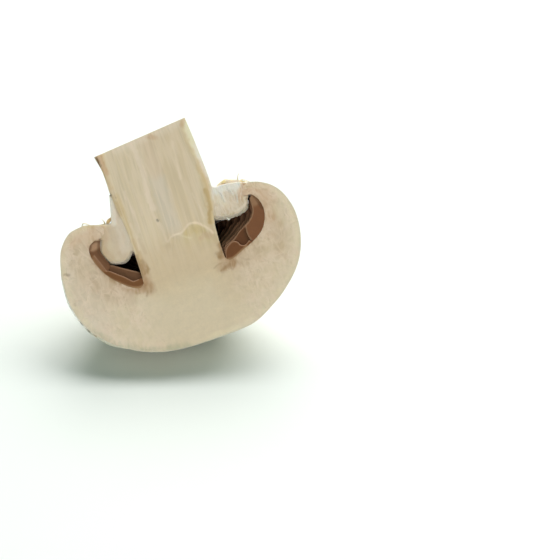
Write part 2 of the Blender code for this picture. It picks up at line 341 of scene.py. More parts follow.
CUT_COATS = (
    # the stem, with a greyer and a tanner band along it
    (STEM_CREAM, 1.0, 7.0, 11.0, [(0, 18), (0, 44)]),
    (STEM_TAN, 0.8, 1.5, 4.5, [(4, 24), (4.5, 40)]),
    (STEM_GREY, 0.9, 0.5, 2.2, [(0.6, 22), (0.3, 27), (0.5, 32)]),
    (STEM_DUSK, 0.8, 0.5, 2.0, [(0.6, 33.5), (0.7, 36), (0.6, 40)]),
    # the middle of the cap, under the stem
    (TAN, 0.9, 2.0, 6.5, [(-6, 16), (0, 17), (6, 16)]),
    # the cap round the gills
    (TAN, 0.7, 1.0, 4.5, [(-17, 14), (-19, 19), (-18, 24)]),
    (TAN, 0.8, 0.5, 4.0, [(10, 12.5), (15, 14), (18.5, 18), (18.5, 22)]),
    (DEEP_TAN, 0.8, 0.3, 2.6, BED_RIGHT),
    (DEEP_TAN, 0.8, 0.3, 2.6, BED_LEFT),
    (ROSE_TAN, 0.7, 0.15, 0.9, BED_RIGHT),
    (ROSE_TAN, 0.8, 0.2, 1.3, BED_LEFT),
    (UMBER, 0.7, 0.2, 1.4, [(-15.4, 21.0), (-14.4, 18.4), (-12.8, 16.3), (-10.2, 14.3), (-8.3, 13.7)]),
    (BRUISE, 0.6, 0.1, 0.8, [(-14.7, 18.6), (-13.0, 16.4), (-10.6, 14.5), (-8.3, 13.9)]),
    (COOL, 0.5, 2.0, 6.0, [(-19.5, 11), (-19, 17), (-19.5, 22)]),
    (WISP_WHITE_AND_GLOW, 0.25, 0.3, 3.2, [(-21.0, 9.6), (-18.5, 6.0), (-16.0, 4.0)]),
    (WISP_WHITE_AND_GLOW, 0.25, 0.2, 1.4, [(5, 0.5), (9.4, 1.0), (12.0, 2.2)]),
    (DEEP_TAN, 0.8, 0.5, 2.5, [(18.6, 13.0), (18.8, 17.5)]),
    (TAN, 0.5, 0.4, 2.5, [(-18.4, 23.0), (-18.0, 18.5)]),
    (TAN, 0.6, 0.4, 1.8, [(17.6, 25.2), (19.2, 23.8)]),
    (TAN, 0.45, 2.0, 5.0, [(8.0, 9.0), (13.0, 9.5), (17.5, 12.5)]),
    (DEEP_TAN, 0.6, 0.4, 2.2, [(10.5, 12.6), (12.6, 13.2), (14.2, 14.4)]),
    (DUSKY, 0.7, 0.6, 3.2, [(-15.8, 17.0), (-14.0, 14.4), (-11.6, 12.9)]),
    (DUSKY, 0.35, 0.6, 2.0, [(10.8, 12.8), (12.4, 13.2), (14.0, 13.9)]),
    (DUSKY, 0.3, 0.5, 1.8, [(-12.6, 13.6), (-11.2, 12.8)]),
    (DUSKY, 0.25, 0.6, 2.0, [(18.2, 17.5), (18.0, 15.0)]),
    (ROSE_TAN, 0.25, 0.4, 1.8, [(17.4, 25.2), (18.8, 24.4)]),
    # a paler band along the stem end: painted glow on its lit rim
    (WISP_WHITE_AND_GLOW, 0.3, 0.4, 2.0, [(-5.0, 40.1), (0.0, 40.7), (5.0, 41.3), (9.0, 41.6)]),
    (DUSKY, 0.4, 0.8, 2.4, [(-17.8, 24.0), (-18.0, 20.5), (-17.2, 17.0)]),
    (DUSKY, 0.25, 1.8, 4.2, [(9.5, 11.5), (12.5, 12.2), (16.0, 13.6), (18.0, 16.0)]),
    # painted shade: a greener, darker band along the lower left edge, which faces the shadow on the table
    (EDGE_SHADE_GREEN, 0.7, 0.2, 1.6, [(-20.0, 8.2), (-17.0, 5.0), (-13.5, 2.7), (-9.0, 1.0), (-4.0, 0.3)]),
    (EDGE_SHADE_GREEN, 0.5, 0.3, 1.3, [(-14.5, 3.3), (-12.0, 2.2), (-9.0, 1.2), (-6.0, 0.7)]),
    (PALE, 0.5, 0.08, 0.4, [(21.6, 22.6), (22.4, 20.2), (22.6, 17.0), (22.2, 13.8), (21.2, 11.0)]),
    (PALE_ROSE, 0.4, 0.15, 0.6, [(20.6, 24.0), (21.9, 21.0), (22.3, 18.0), (22.0, 14.5), (20.9, 11.0)]),
    (ROSE_TAN, 0.5, 0.3, 1.3, [(17.2, 24.3), (18.2, 22.6), (18.7, 20.6), (18.6, 18.8)]),
    (BRUISE, 0.5, 0.1, 0.5, BED_RIGHT),
    (BRUISE, 0.6, 0.1, 0.5, BED_LEFT),
    # the rims
    (PINKISH, 0.8, 0.6, 2.6, [(-18.5, 26.2), (-16, 26.6), (-13.5, 26.2), (-12.4, 25.0)]),
    (PINKISH, 0.8, 0.4, 2.4, [(14.5, 25.2), (16.5, 25.2), (18.5, 24.6), (19.5, 22.5)]),
    (GOLD, 0.6, 0.2, 0.8, [(-15.6, 27.6), (-14.6, 27.6), (-13.2, 27.2)]),
    # a painted highlight along the top of the left rim
    (PALE, 0.6, 0.1, 0.5, [(-14.4, 27.9), (-12.6, 27.2), (-10.6, 26.5)]),
    (RUST, 0.7, 0.2, 0.8, [(15.8, 26.4), (16.3, 25.9), (16.6, 25.4)]),
    (ROSE_TAN, 0.7, 0.2, 0.9, [(14.0, 24.4), (15.0, 24.9), (16.2, 24.9), (17.1, 24.3)]),
    (PALE_ROSE, 0.5, 0.05, 0.25, [(14.4, 25.2), (15.5, 25.5), (16.8, 25.3)]),
    # flanks of the stem
    (GOLD, 0.6, 0.1, 1.1, [(8.6, 40.5), (8.5, 37), (8.9, 33), (8.9, 29), (8.5, 25), (7.7, 21.5)]),
    # painted glow: the right flank of the stem is lighter and warmer, where the lamp behind shines through
    (GLOW, 0.9, 0.5, 1.5, [(9.2, 41), (9.3, 37), (9.6, 34.0)]),
    (WISP_WHITE_AND_GLOW, 0.7, 0.2, 0.8, [(9.4, 36), (9.7, 31), (10.1, 28), (9.6, 25.5)]),
    (OCHRE, 0.4, 0.05, 0.6, [(8.4, 27.4), (8.4, 25.5), (8.1, 23.6)]),
    (OCHRE, 0.55, 0.05, 0.55, [(7.9, 23.4), (7.6, 22.5), (7.4, 21.4)]),
    (GOLD, 0.5, 0.1, 0.9, [(-7.8, 31), (-7.5, 26), (-7.3, 21), (-7.1, 16)]),
    (GOLD, 0.5, 0.1, 0.6, [(-8.0, 39.4), (-8.4, 36), (-8.3, 33)]),
    (OCHRE, 0.35, 0.05, 0.5, [(-7.4, 22.6), (-7.1, 20.0), (-6.8, 18.0), (-6.6, 16.0)]),
    (PALE_ROSE, 0.6, 0.1, 0.45, [(-6.2, 31.5), (-5.9, 28), (-5.7, 25.5), (-5.9, 23.6)]),
    (PALE_ROSE, 0.5, 0.08, 0.35, [(-7.0, 25.5), (-6.6, 23.0), (-6.9, 20.4)]),
    (PALE_ROSE, 0.75, 0.2, 0.8, [(-2.4, 40.3), (-1.8, 38), (-1.6, 34), (-2.1, 30), (-1.8, 27)]),
    (PALE_ROSE, 0.5, 0.1, 0.5, [(-2.2, 30), (-2.4, 26), (-1.6, 23), (-1.5, 20.5)]),
    (PALE_ROSE, 0.4, 0.1, 0.45, [(5.4, 38), (5.0, 34), (4.7, 31)]),
    (PALE_ROSE, 0.35, 0.08, 0.4, [(-4.6, 33), (-4.2, 30), (-4.3, 26.5)]),
    (PALE_ROSE, 0.4, 0.08, 0.3, [(5.9, 27.5), (6.3, 25.0), (6.6, 22.6)]),
    # bruises at the inner ends of the gills, frayed
    (BRUISE, 0.55, 0.05, 0.35, [(8.9, 13.4), (7.9, 12.6), (6.5, 12.1)]),
    (BRUISE, 0.45, 0.05, 0.3, [(9.6, 13.0), (9.3, 12.3), (8.7, 11.7)]),
    (BRUISE, 0.3, 0.04, 0.25, [(10.6, 13.6), (11.4, 12.8), (12.4, 12.4)]),
    (BRUISE, 0.3, 0.04, 0.25, [(8.0, 13.2), (6.6, 13.4), (5.4, 12.9)]),
    (OCHRE, 0.6, 0.1, 0.7, [(7.8, 16.6), (7.3, 15.4), (7.1, 14.6)]),
    (BRUISE, 0.55, 0.05, 0.35, [(-8.2, 13.8), (-7.9, 12.8), (-8.2, 11.8)]),
    (BRUISE, 0.4, 0.05, 0.3, [(-7.4, 14.0), (-7.0, 13.0), (-7.2, 12.2)]),
    (BRUISE, 0.35, 0.05, 0.3, [(-10.4, 14.0), (-10.0, 13.0), (-9.3, 12.6)]),
    (OCHRE, 0.35, 0.05, 0.35, [(-7.5, 19.0), (-6.9, 17.4), (-6.3, 16.4)]),
    (OCHRE, 0.25, 0.05, 0.6, [(-6.3, 22.2), (-5.9, 19.6)]),
    (OCHRE, 0.25, 0.05, 0.6, [(7.3, 20.6), (7.2, 17.4)]),
    (OCHRE, 0.35, 0.05, 0.8, [(-8.8, 38.5), (-8.6, 33), (-8.2, 28)]),
    (BRUISE, 0.7, 0.2, 1.1, [(7.2, 14.9), (7.7, 15.4), (7.9, 16.2)]),
    (BRUISE, 0.7, 0.1, 0.9, [(9.3, 12.9), (8.5, 12.4)]),
    (BRUISE, 0.3, 0.1, 0.8, [(7.2, 12.4), (7.8, 12.9)]),
    (UMBER, 0.5, 0.2, 1.6, [(7.0, 12.6), (7.6, 13.2), (9.4, 12.8)]),
    (BRUISE, 0.5, 0.1, 0.8, [(-7.0, 16), (-7.1, 18)]),
    (BRUISE, 0.5, 0.1, 0.7, [(-9.5, 13.9), (-8.1, 13.5)]),
    (BRUISE, 0.4, 0.1, 0.5, [(-7.5, 14.8), (-7.3, 15.8), (-6.4, 16.4)]),
    (UMBER, 0.55, 0.2, 1.6, [(-12.0, 15.0), (-10.4, 13.8), (-8.8, 13.2), (-7.2, 13.0)]),
    (UMBER, 0.5, 0.2, 1.2, [(-7.5, 14.2), (-7.2, 17)]),
    (BRUISE, 0.6, 0.1, 0.5, [(-7.7, 19.4), (-7.8, 17.6), (-7.9, 15.4)]),
    (PALE_ROSE, 0.4, 0.06, 0.3, [(-11.9, 15.2), (-10.9, 14.2), (-9.4, 13.9)]),
    # where the stem end dried, and specks
    (RUST, 0.7, 0.1, 0.9, [(-8.7, 39.4), (-8.6, 37.8), (-8.4, 36)]),
    (DARK_BROWN, 0.85, 0.1, 0.5, [(-9.5, 39.5), (-9.2, 38.7), (-9.0, 37.6)]),
    (DARK_BROWN, 0.5, 0.02, 0.2, [(-9.0, 37.6), (-8.9, 35.5), (-8.9, 33.4)]),
    (RUST, 0.5, 0.1, 0.9, [(8.8, 41.4), (8.1, 40.6)]),
    (RUST, 0.45, 0.1, 0.7, [(1.3, 40.1), (2.0, 40.0), (2.6, 39.7)]),
    (GILL_BROWN, 0.8, 0.12, 0.4, [(-21.5, 20.1), (-20.8, 19.8)]),
    (BRUISE, 0.5, 0.1, 0.35, [(-21.5, 14.3), (-21.3, 14.1)]),
    (SPECK, 0.9, 0.16, 0.32, [(-8.9, 31.85), (-8.8, 31.75)]),
    (SPECK, 0.6, 0.05, 0.3, [(-1.95, 24.75), (-1.85, 24.6)]),
    (BRUISE, 0.4, 0.05, 0.3, [(-8.05, 31.05), (-7.95, 31.0)]),
    # the flap: painted highlights along its raised edge and fold, and painted shade, olive and rosy, under it
    (OLIVE, 0.5, 0.3, 2.2, [(2.0, 19.6), (4.2, 19.6), (6.0, 18.8)]),
    (FLAP_OLIVE, 0.7, 0.3, 1.3, [(2.4, 20.7), (3.8, 21.2), (5.4, 20.6)]),
    (ROSE_TAN, 0.35, 0.2, 0.7, [(4.6, 19.0), (5.8, 19.4), (6.6, 19.0)]),
    (PALE_ROSE, 0.5, 0.05, 0.32, FLAP_LINE),
    (PALE, 0.5, 0.05, 0.3, FLAP_FOLD),
)


def cut_colours(at):
    """The colours of the cut at these points."""
    cream = np.tile(linear(*CREAM), (len(at), 1))
    shake = 0.2 * grain(at, 1.5, seed=3) + 0.35 * grain(at * (1, 1, 0.5), 0.5, seed=12)
    return coated(cream, at[:, (0, 2)], CUT_COATS, shake)


flesh_colour = cut_colours(flesh_at)
print("coats on the cut:", len(CUT_COATS))

# %% [markdown]
# Round the cut runs the skin: from in front, a faint line of grey a quarter of a millimetre wide,
# and just inside it a paler layer, except low on the left, where it is left out so that this edge
# stays darker, as painted shade. Behind the cut everything else is skin, near white. Low on the left
# it shows past the cut, so the brush gives it a painted lit band, a greyer band of painted shade and
# four flecks there. Inside the chamber the flesh that bears the gills, and the stem's flank there,
# are dark brown: partly the gill bed's own colour, partly painted shade in that hollow. Four more
# values go to the finish: which points are skin, which lie in the stem, how far from the stem they
# are, and the way that the fibres of the skin run.

# %% Paint the skin's edge, the skin and the gill chamber
GREY_EDGE, UNDER_SKIN, SKIN_WHITE = (206, 202, 184), (240, 226, 192), (240, 231, 214)
SKIN_SHADE_GREY, SKIN_LIT, CHAMBER_BROWN_AND_SHADE = (204, 210, 192), (255, 252, 246), (76, 45, 28)
BED_DEPTH = 1.2                                      # how far from a gill bed the flesh is brown
FLANK_RADIUS, FLANK_LOW, FLANK_HIGH = 10, 13, 20.5   # the stem's flank inside the chamber
FIBRE_RADIUS = 14                                    # turns an angle round the stem into millimetres
# along this edge the paler layer is left out, so that it stays darker, as painted shade
SHADED_LOW_EDGE = curve([(-18.5, 6.0), (-13.5, 2.5), (-9.0, 1.0), (-3.0, 0.3)])         # no paler layer

# low on the left: a painted lit band on the skin, a greyer band of painted shade below it, then four flecks
SKIN_COATS = (
    (SKIN_LIT, 0.9, 1.0, 3.0, [(-23.0, 18), (-22.4, 13.0), (-21.4, 10.4)]),
    (SKIN_SHADE_GREY, 0.6, 0.5, 2.2, [(-20.0, 7.6), (-18.4, 5.8), (-16.6, 4.6)]),
    (SPECK, 0.8, 0.1, 0.45, [(-21.5, 10.9), (-21.2, 10.5)]),
    (SPECK, 0.8, 0.1, 0.45, [(-20.6, 9.2), (-20.2, 8.8)]),
    (BRUISE, 0.7, 0.1, 0.4, [(-22.2, 12.6), (-22.1, 12.3)]),
    (BRUISE, 0.7, 0.1, 0.4, [(-19.6, 7.8), (-19.4, 7.5)]),
)
edge_away, _ = nearest_on(cut_xz, SKIN_EDGE)
under_skin = 0.5 * (1 - smoothstep(0.7, 1.6, edge_away + 0.3 * grain(flesh_at, 1.5, seed=4)))
under_skin *= smoothstep(2.0, 5.0, nearest_on(cut_xz, SHADED_LOW_EDGE)[0])
grey_edge = 0.4 * (1 - smoothstep(0.1, 0.35, edge_away))
for tint, share in ((UNDER_SKIN, under_skin), (GREY_EDGE, grey_edge)):
    flesh_colour = covered(flesh_colour, tint, share * flesh_is_cut)

around = np.hypot(flesh_at[:, 0], flesh_at[:, 1])
bed_away = np.minimum(nearest_on(np.c_[around, flesh_at[:, 2]], BED_RIGHT)[0],
                      nearest_on(np.c_[-around, flesh_at[:, 2]], BED_LEFT)[0])
on_flank = (around < FLANK_RADIUS) & (flesh_at[:, 2] > FLANK_LOW) & (flesh_at[:, 2] < FLANK_HIGH)
in_chamber = on_skin & ((bed_away < BED_DEPTH) | on_flank) & (flesh_at[:, 1] > 0.05)
near_cut = (on_skin * (1 - smoothstep(0.6, 2.8, flesh_at[:, 1])))[:, None]
flesh_colour[on_skin] = linear(*SKIN_WHITE)
flesh_colour += near_cut * (coated(flesh_colour, cut_xz, SKIN_COATS) - flesh_colour)
# dark brown in the chamber: partly the gill bed's own colour, partly painted shade in the hollow
flesh_colour[in_chamber] = linear(*CHAMBER_BROWN_AND_SHADE)
flesh_skin = (on_skin & ~in_chamber).astype(float)
flesh_fibre = smoothstep(10, 24, flesh_at[:, 2]) * (1 - smoothstep(8.5, 11, around))
flesh_rough = smoothstep(5, 12, around)
flesh_lie = np.c_[FIBRE_RADIUS * np.arctan2(flesh_at[:, 1], flesh_at[:, 0]),
                  around + flesh_at[:, 2], 0 * around]
print("skin", int(flesh_skin.sum()), "points, gill bed", int(in_chamber.sum()), "points")

# %% [markdown]
# ## Materials as expressions
# A node tree is arithmetic drawn as a diagram. One small class wraps an output of a node and gives
# it the signs of Python, so that an expression builds the nodes. Every place on the mushroom is read
# in its own frame, in millimetres, so a size in an expression is the size on the mushroom.

# %% A field over a surface
class Field:
    """A value or colour that varies over a surface: one output of a node, with arithmetic."""

    def __init__(self, tree, socket=None):
        self.tree = tree
        self.socket = socket

    def node(self, kind, settings, inputs, output=0):
        """Another node of this material: its type, its settings, then its inputs."""
        made = self.tree.nodes.new(kind)
        for name, value in settings.items():
            setattr(made, name, value)
        for name, value in inputs.items():
            if isinstance(value, Field):
                self.tree.links.new(value.socket, made.inputs[name])
            else:
                made.inputs[name].default_value = value
        return Field(self.tree, made.outputs[output])

    def maths(self, operation, first, second=0.0):
        return self.node("ShaderNodeMath", {"operation": operation}, {0: first, 1: second})

    def __add__(self, other):
        return self.maths("ADD", self, other)

    def __sub__(self, other):
        return self.maths("SUBTRACT", self, other)

    def __rsub__(self, other):
        return self.maths("SUBTRACT", other, self)

    def __mul__(self, other):
        return self.maths("MULTIPLY", self, other)

    __radd__ = __add__
    __rmul__ = __mul__

    def size(self):
        """The value without its sign."""
        return self.maths("ABSOLUTE", self)

    def wave(self):
        """The sine of the value."""
        return self.maths("SINE", self)

    def step(self, low, high):
        """0 below low, 1 above high, smooth between them. low may be the larger."""
        return self.node("ShaderNodeMapRange", {"interpolation_type": "SMOOTHSTEP"},
                         {"Value": self, "From Min": low, "From Max": high})

    def blend(self, other, share):
        """This colour with a share of another over it."""
        return self.node("ShaderNodeMix", {"data_type": "RGBA"}, {0: share, 6: self, 7: other}, 2)

    def scaled(self, factor):
        """A colour or vector times a number."""
        return self.node("ShaderNodeVectorMath", {"operation": "SCALE"}, {0: self, "Scale": factor})

    def stretched(self, x, y, z):
        """A place, with each axis times a number."""
        return self.node("ShaderNodeVectorMath", {"operation": "MULTIPLY"}, {0: self, 1: (x, y, z)})

    def cloud(self, size, detail=3.0, wander=0.0):
        """Noise from 0 to 1 at a place, in blotches of this size."""
        return self.node("ShaderNodeTexNoise", {}, {"Vector": self, "Scale": 1 / size, "Detail": detail,
                                                    "Distortion": wander})

    def flecks(self, spacing):
        """The distance to the nearest of many scattered points."""
        return self.node("ShaderNodeTexVoronoi", {}, {"Vector": self, "Scale": 1 / spacing}) * spacing


def opaque(red, green, blue):
    """A colour from the usual 0 to 255 values, as a node takes it."""
    return (*linear(red, green, blue), 1)


def new_finish(name):
    """A new material, a field without a socket to start from, and its shader."""
    material = bpy.data.materials.new(name)
    material.use_nodes = True
    return material, Field(material.node_tree), material.node_tree.nodes["Principled BSDF"]


def feed(shader, **fields):
    """Connect fields to the shader, Base_Color for "Base Color"."""
    for name, field in fields.items():
        field.tree.links.new(field.socket, shader.inputs[name.replace("_", " ")])


def place_in(start):
    """The place in the mushroom's frame, in millimetres."""
    room = start.node("ShaderNodeTexCoord", {}, {}, "Object")
    return start.node("ShaderNodeMapping", {},
                      {"Vector": room, "Location": mushroom_from_room.to_translation(),
                       "Rotation": mushroom_from_room.to_euler(), "Scale": mushroom_from_room.to_scale()})


def painted(start, name, output="Fac"):
    """What we stored on the points under this name."""
    return start.node("ShaderNodeAttribute", {"attribute_name": name}, {}, output)


def relief(start, height):
    """The normal of a surface with this height, in millimetres."""
    return start.node("ShaderNodeBump", {}, {"Height": height, "Distance": MM, "Strength": 1.0})


def translucent(shader, share):
    """Let a share of the light wander about a millimetre through the flesh."""
    shader.inputs["Subsurface Weight"].default_value = share
    shader.inputs["Subsurface Radius"].default_value = (1.0, 0.8, 0.55)
    shader.inputs["Subsurface Scale"].default_value = MM


# %% [markdown]
# ## The finish of flesh and skin
# Between the routes that we painted, the flesh still has a texture of its own: curls and thin ridges
# in the cap, and long fibres in the stem, where it grew upwards. The skin is silky, with scaly
# patches, stains and a little soil. These are too fine and too many to draw, so noise makes them. It
# is stretched where the real thing has a grain, and it shapes the surface as well as its colour.

# %% The finish of the flesh and its skin
ROSY, RIDGE_PALE, STREAK_PALE, HAIR_PALE = (226, 194, 166), (250, 228, 206), (250, 230, 210), (250, 230, 208)
SCALE_GREY, STAIN, SOIL = (212, 203, 178), (214, 196, 160), (104, 90, 64)


def flesh_finish():
    material, start, shader = new_finish("mushroom flesh")
    at = place_in(start)
    tint, skin = painted(start, "tint", "Color"), painted(start, "skin")
    fibre, rough = painted(start, "fibre"), painted(start, "rough")

    # the flesh of the cap: curls and layers all over, and away from the stem rosy clouds, thin pale
    # ridges along the curls, and pale streaks along z; the pale of ridges and streaks is partly a
    # painted highlight on the rough cut
    curls = at.cloud(1.8, 3.0, 1.0)
    ridges = (1 - 6 * (curls - 0.5).size()).step(0.0, 1.0) * at.cloud(3.0).step(0.42, 0.6) * rough
    layers = at.stretched(0.35, 1, 1).cloud(1.0, 3.0)
    streaks = (1 - 8 * (at.stretched(1, 1, 0.4).cloud(1.6, 3.0, 0.8) - 0.5).size()).step(0.0, 1.0) * rough
    cap = (tint.scaled(1 + 0.12 * (curls - 0.5) + 0.12 * (layers - 0.5) + 0.10 * (at.cloud(0.4, 2.0) - 0.5))
           .blend(opaque(*ROSY), 0.28 * rough * at.cloud(3.2).step(0.5, 0.72))
           .blend(opaque(*RIDGE_PALE), 0.38 * ridges)
           .blend(opaque(*STREAK_PALE), 0.28 * streaks))
    # the stem: long bands and fine fibres
    bands = at.stretched(1, 1, 0.035).cloud(1.4, 3.0, 0.3)
    fibres = at.stretched(1, 1, 0.06).cloud(0.4, 2.0)
    hairs = (1 - 9 * (at.stretched(1, 1, 0.1).cloud(1.7, 3.0, 0.6) - 0.5).size()).step(0.0, 1.0)
    stem = (tint.scaled(1 + 0.26 * (bands - 0.5) + 0.16 * (fibres - 0.5))
            .blend(opaque(*HAIR_PALE), 0.3 * hairs))
    flesh = cap.blend(stem, fibre)

    # the skin: fibres that run from the top of the cap outwards, scaly patches, stains, a little soil
    silk = painted(start, "lie", "Vector").stretched(1, 0.12, 1).cloud(0.7, 3.0, 0.3)
    scaly = at.cloud(7.0, 2.0).step(0.44, 0.62) * rough
    scale = at.stretched(1, 1, 1.5).cloud(0.8, 4.0).step(0.45, 0.65) * scaly
    soil = at.flecks(2.2).step(0.32, 0.1) * at.cloud(5.0).step(0.54, 0.64)
    outside = (tint.scaled(0.88 + 0.2 * silk + 0.06 * scale)
               .blend(opaque(*SCALE_GREY), (0.2 + 0.3 * scaly) * at.cloud(1.3, 4.0, 1.0).step(0.45, 0.65))
               .blend(opaque(*STAIN), 0.4 * at.cloud(9.0).step(0.5, 0.72))
               .blend(opaque(*SOIL), 0.85 * soil))
    feed(shader, Base_Color=flesh.blend(outside, skin),
         Roughness=0.52 + 0.2 * curls,
         Normal=relief(start, (1 - skin) * ((1 - fibre) * (0.06 * curls + 0.05 * ridges)
                                            + fibre * (0.10 * bands + 0.02 * hairs))
                       + skin * (0.10 * silk + 0.10 * scale + 0.04 * curls)))
    shader.inputs["Specular IOR Level"].default_value = 0.35
    translucent(shader, 0.12)
    return material


def store(piece, name, values):
    """Store a number or a colour on each point of a piece."""
    if values.ndim == 1:
        piece.data.attributes.new(name, "FLOAT", "POINT").data.foreach_set("value", values.astype(np.float32))
    else:
        rgba = np.c_[values, np.ones(len(values))].astype(np.float32)
        piece.data.attributes.new(name, "FLOAT_COLOR", "POINT").data.foreach_set("color", rgba.ravel())


def finished(name, shape, material, attributes, *nodes, crease=180.0):
    """Turn a bmesh in the mushroom's frame into a piece, which replaces these nodes."""
    piece = new_object(name, shape)
    piece.data.transform(room_from_mushroom)
    piece.data.materials.append(material)
    for key, values in attributes.items():
        store(piece, key, values)
    for polygon in piece.data.polygons:
        polygon.use_smooth = True
    if crease < 180:
        piece.data.set_sharp_from_angle(angle=math.radians(crease))
    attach(piece, "root")
    if nodes:
        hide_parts(*nodes)
    print(name, len(piece.data.polygons), "faces")
    return piece


flesh_material = flesh_finish()
flesh = finished("fine_flesh", flesh_shape, flesh_material,
                 {"tint": flesh_colour, "skin": flesh_skin, "fibre": flesh_fibre, "rough": flesh_rough,
                  "lie": flesh_lie}, "cap_and_stem", crease=38)

# %% [markdown]
# ## The veil
# A young mushroom's veil is a web of white fibres from the rim to the stem. The knife went through
# it: on the right it hangs like torn felt, with a ragged lower lip, and on the left it has rolled
# into a smooth ball. The solid model keeps a small gap round it, because touching solids may not
# share a space. The real veil has grown on, so we swell it until it sinks into rim and stem.

# %% Swell the veil and cover it with a fine net
VEIL_SWELL, VEIL_BEHIND_CUT, VEIL_CELL = 0.45, 0.5, 0.24
LIP_RIGHT = curve([(8.5, 21.75), (9.2, 21.55), (10.0, 21.4), (10.7, 21.2), (11.5, 21.15), (12.6, 21.2),
                   (13.3, 21.2), (14.0, 21.35), (14.8, 21.65), (15.3, 22.05), (15.5, 22.6), (15.6, 23.3)])
LIP_LEFT = curve([(-13.3, 24.2), (-14.0, 22.3), (-13.6, 20.8), (-12.8, 19.7), (-11.5, 19.2), (-10.0, 19.0),
                  (-9.0, 19.4), (-8.1, 20.3)])

veil_shape = remeshed(solid_copy("veil"), "veil", SOLID_CELL)
for vertex, out in zip(veil_shape.verts, points_of(veil_shape)[1]):
    swell = Vector(out)
    if vertex.co.y < IN_PLANE:
        swell.y = 0
        swell = swell.normalized() if swell.length > 0.3 else Vector()
    vertex.co += VEIL_SWELL * swell
    vertex.co.y = max(vertex.co.y, VEIL_BEHIND_CUT)
veil_shape = remeshed(veil_shape, "veil", VEIL_CELL)
smoothed(veil_shape, [v for v in veil_shape.verts if v.co.y > 0.3], 1)
veil_at, veil_out = points_of(veil_shape)
print("veil:", len(veil_at), "points")

# %% Give it folds, and draw its underside up
UNDERSIDE_LIFT, LIFT_BEHIND, LIFT_REACH = 0.65, 0.12, 8      # at the cut, more per millimetre behind it

down_the_felt = veil_at * (1, 1, 0.25)               # folds hang down, so they are long along z
felt = 0.20 * grain(down_the_felt, 1.5, seed=5) + 0.05 * grain(down_the_felt, 0.5, seed=6)
felt *= smoothstep(VEIL_BEHIND_CUT, VEIL_BEHIND_CUT + 0.5, veil_at[:, 1])
underside = smoothstep(0.1, 0.6, -veil_out[:, 2])
for vertex, out, fold, under in zip(veil_shape.verts, veil_out, felt, underside):
    vertex.co += Vector(out) * float(fold)
    vertex.co.z += (UNDERSIDE_LIFT + LIFT_BEHIND * min(vertex.co.y, LIFT_REACH)) * float(under)
print(f"folds of up to {np.abs(felt).max():.2f} mm")

# %% [markdown]
# Its felt needs its own finish: white, with fibres that are noise drawn out along the stem, and dark
# brown underneath, on the side of the chamber, partly a stain from the spores and partly painted
# shade. The cut ends get their colour from the same brush as the flesh, with the veil's own coats
# added.

# %% The finish of the veil
VEIL_WHITE, VEIL_GREY, VEIL_DIM = (246, 229, 204), (228, 207, 180), (221, 200, 171)
VEIL_TAN, VEIL_UNDERSIDE_STAIN_AND_SHADE = (218, 192, 158), (70, 48, 34)
VEIL_COATS = (
    # painted glow: the near-white coats along the top of the felt and beside the stem, lit from behind
    (VEIL_WHITE, 1.0, 1.4, 3.2, [(10.2, 24.4), (10.6, 26.0), (11.5, 28)]),
    (WISP_WHITE_AND_GLOW, 0.9, 0.5, 1.3, [(11.0, 26.4), (12.8, 26.1), (14.0, 26.5)]),
    (VEIL_WHITE, 0.6, 0.5, 1.5, [(11.4, 25.4), (12.4, 24.6)]),
    (VEIL_GREY, 0.8, 0.6, 1.6, [(9.4, 23.5), (9.8, 22.2), (12.2, 23.0), (12.6, 25.4)]),
    (VEIL_DIM, 0.9, 0.5, 1.6, [(8.6, 22.2), (10.4, 21.8), (12.4, 21.7), (14.4, 22.2)]),
    (VEIL_TAN, 0.7, 0.3, 1.2, [(13.9, 23.2), (14.3, 24.2), (15.4, 24.9), (16.6, 24.6)]),
    (WISP_WHITE_AND_GLOW, 1.0, 0.7, 1.5, [(9.9, 27.9), (10.4, 27.2), (11.9, 27.3), (14.2, 27.2)]),
    (ROSE_TAN, 0.6, 0.2, 0.9, [(14.0, 24.3), (15.0, 24.8), (16.4, 24.7)]),
    (WISP_WHITE_AND_GLOW, 0.8, 0.1, 0.45, [(10.8, 26.6), (11.1, 25.6), (11.3, 24.4)]),
    (WISP_WHITE_AND_GLOW, 0.7, 0.1, 0.4, [(12.2, 26.4), (12.8, 25.9), (13.2, 25.2)]),
    (WISP_WHITE_AND_GLOW, 0.5, 0.08, 0.35, [(13.8, 26.2), (13.8, 24.8), (13.5, 23.4)]),
    (PALE_ROSE, 0.6, 0.06, 0.3, [(14.2, 24.0), (14.7, 24.9), (15.7, 25.0), (16.6, 24.9)]),
    (PALE_ROSE, 0.6, 0.06, 0.3, [(12.6, 21.9), (13.9, 22.3), (14.7, 22.7), (15.2, 23.3)]),
    (VEIL_GREY, 1.0, 0.8, 3.0, [(-9.8, 21.0), (-9.6, 23.5), (-9.2, 27.0)]),
    (WISP_WHITE_AND_GLOW, 0.75, 0.2, 0.85, [(-9.9, 26.6), (-9.5, 28), (-9.0, 31)]),
    (WISP_WHITE_AND_GLOW, 0.3, 0.5, 1.6, [(-8.9, 26.0), (-8.9, 23.5), (-9.2, 21.6)]),
    (VEIL_TAN, 0.8, 0.5, 1.7, [(-12.8, 26.0), (-13.4, 24.0), (-13.4, 22.0), (-12.8, 20.3)]),
    # painted highlights: pale lines along both lips, where the rolled lips catch the light
    (PALE, 0.8, 0.08, 0.4, LIP_RIGHT),
    (PALE, 0.7, 0.08, 0.4, LIP_LEFT),
)


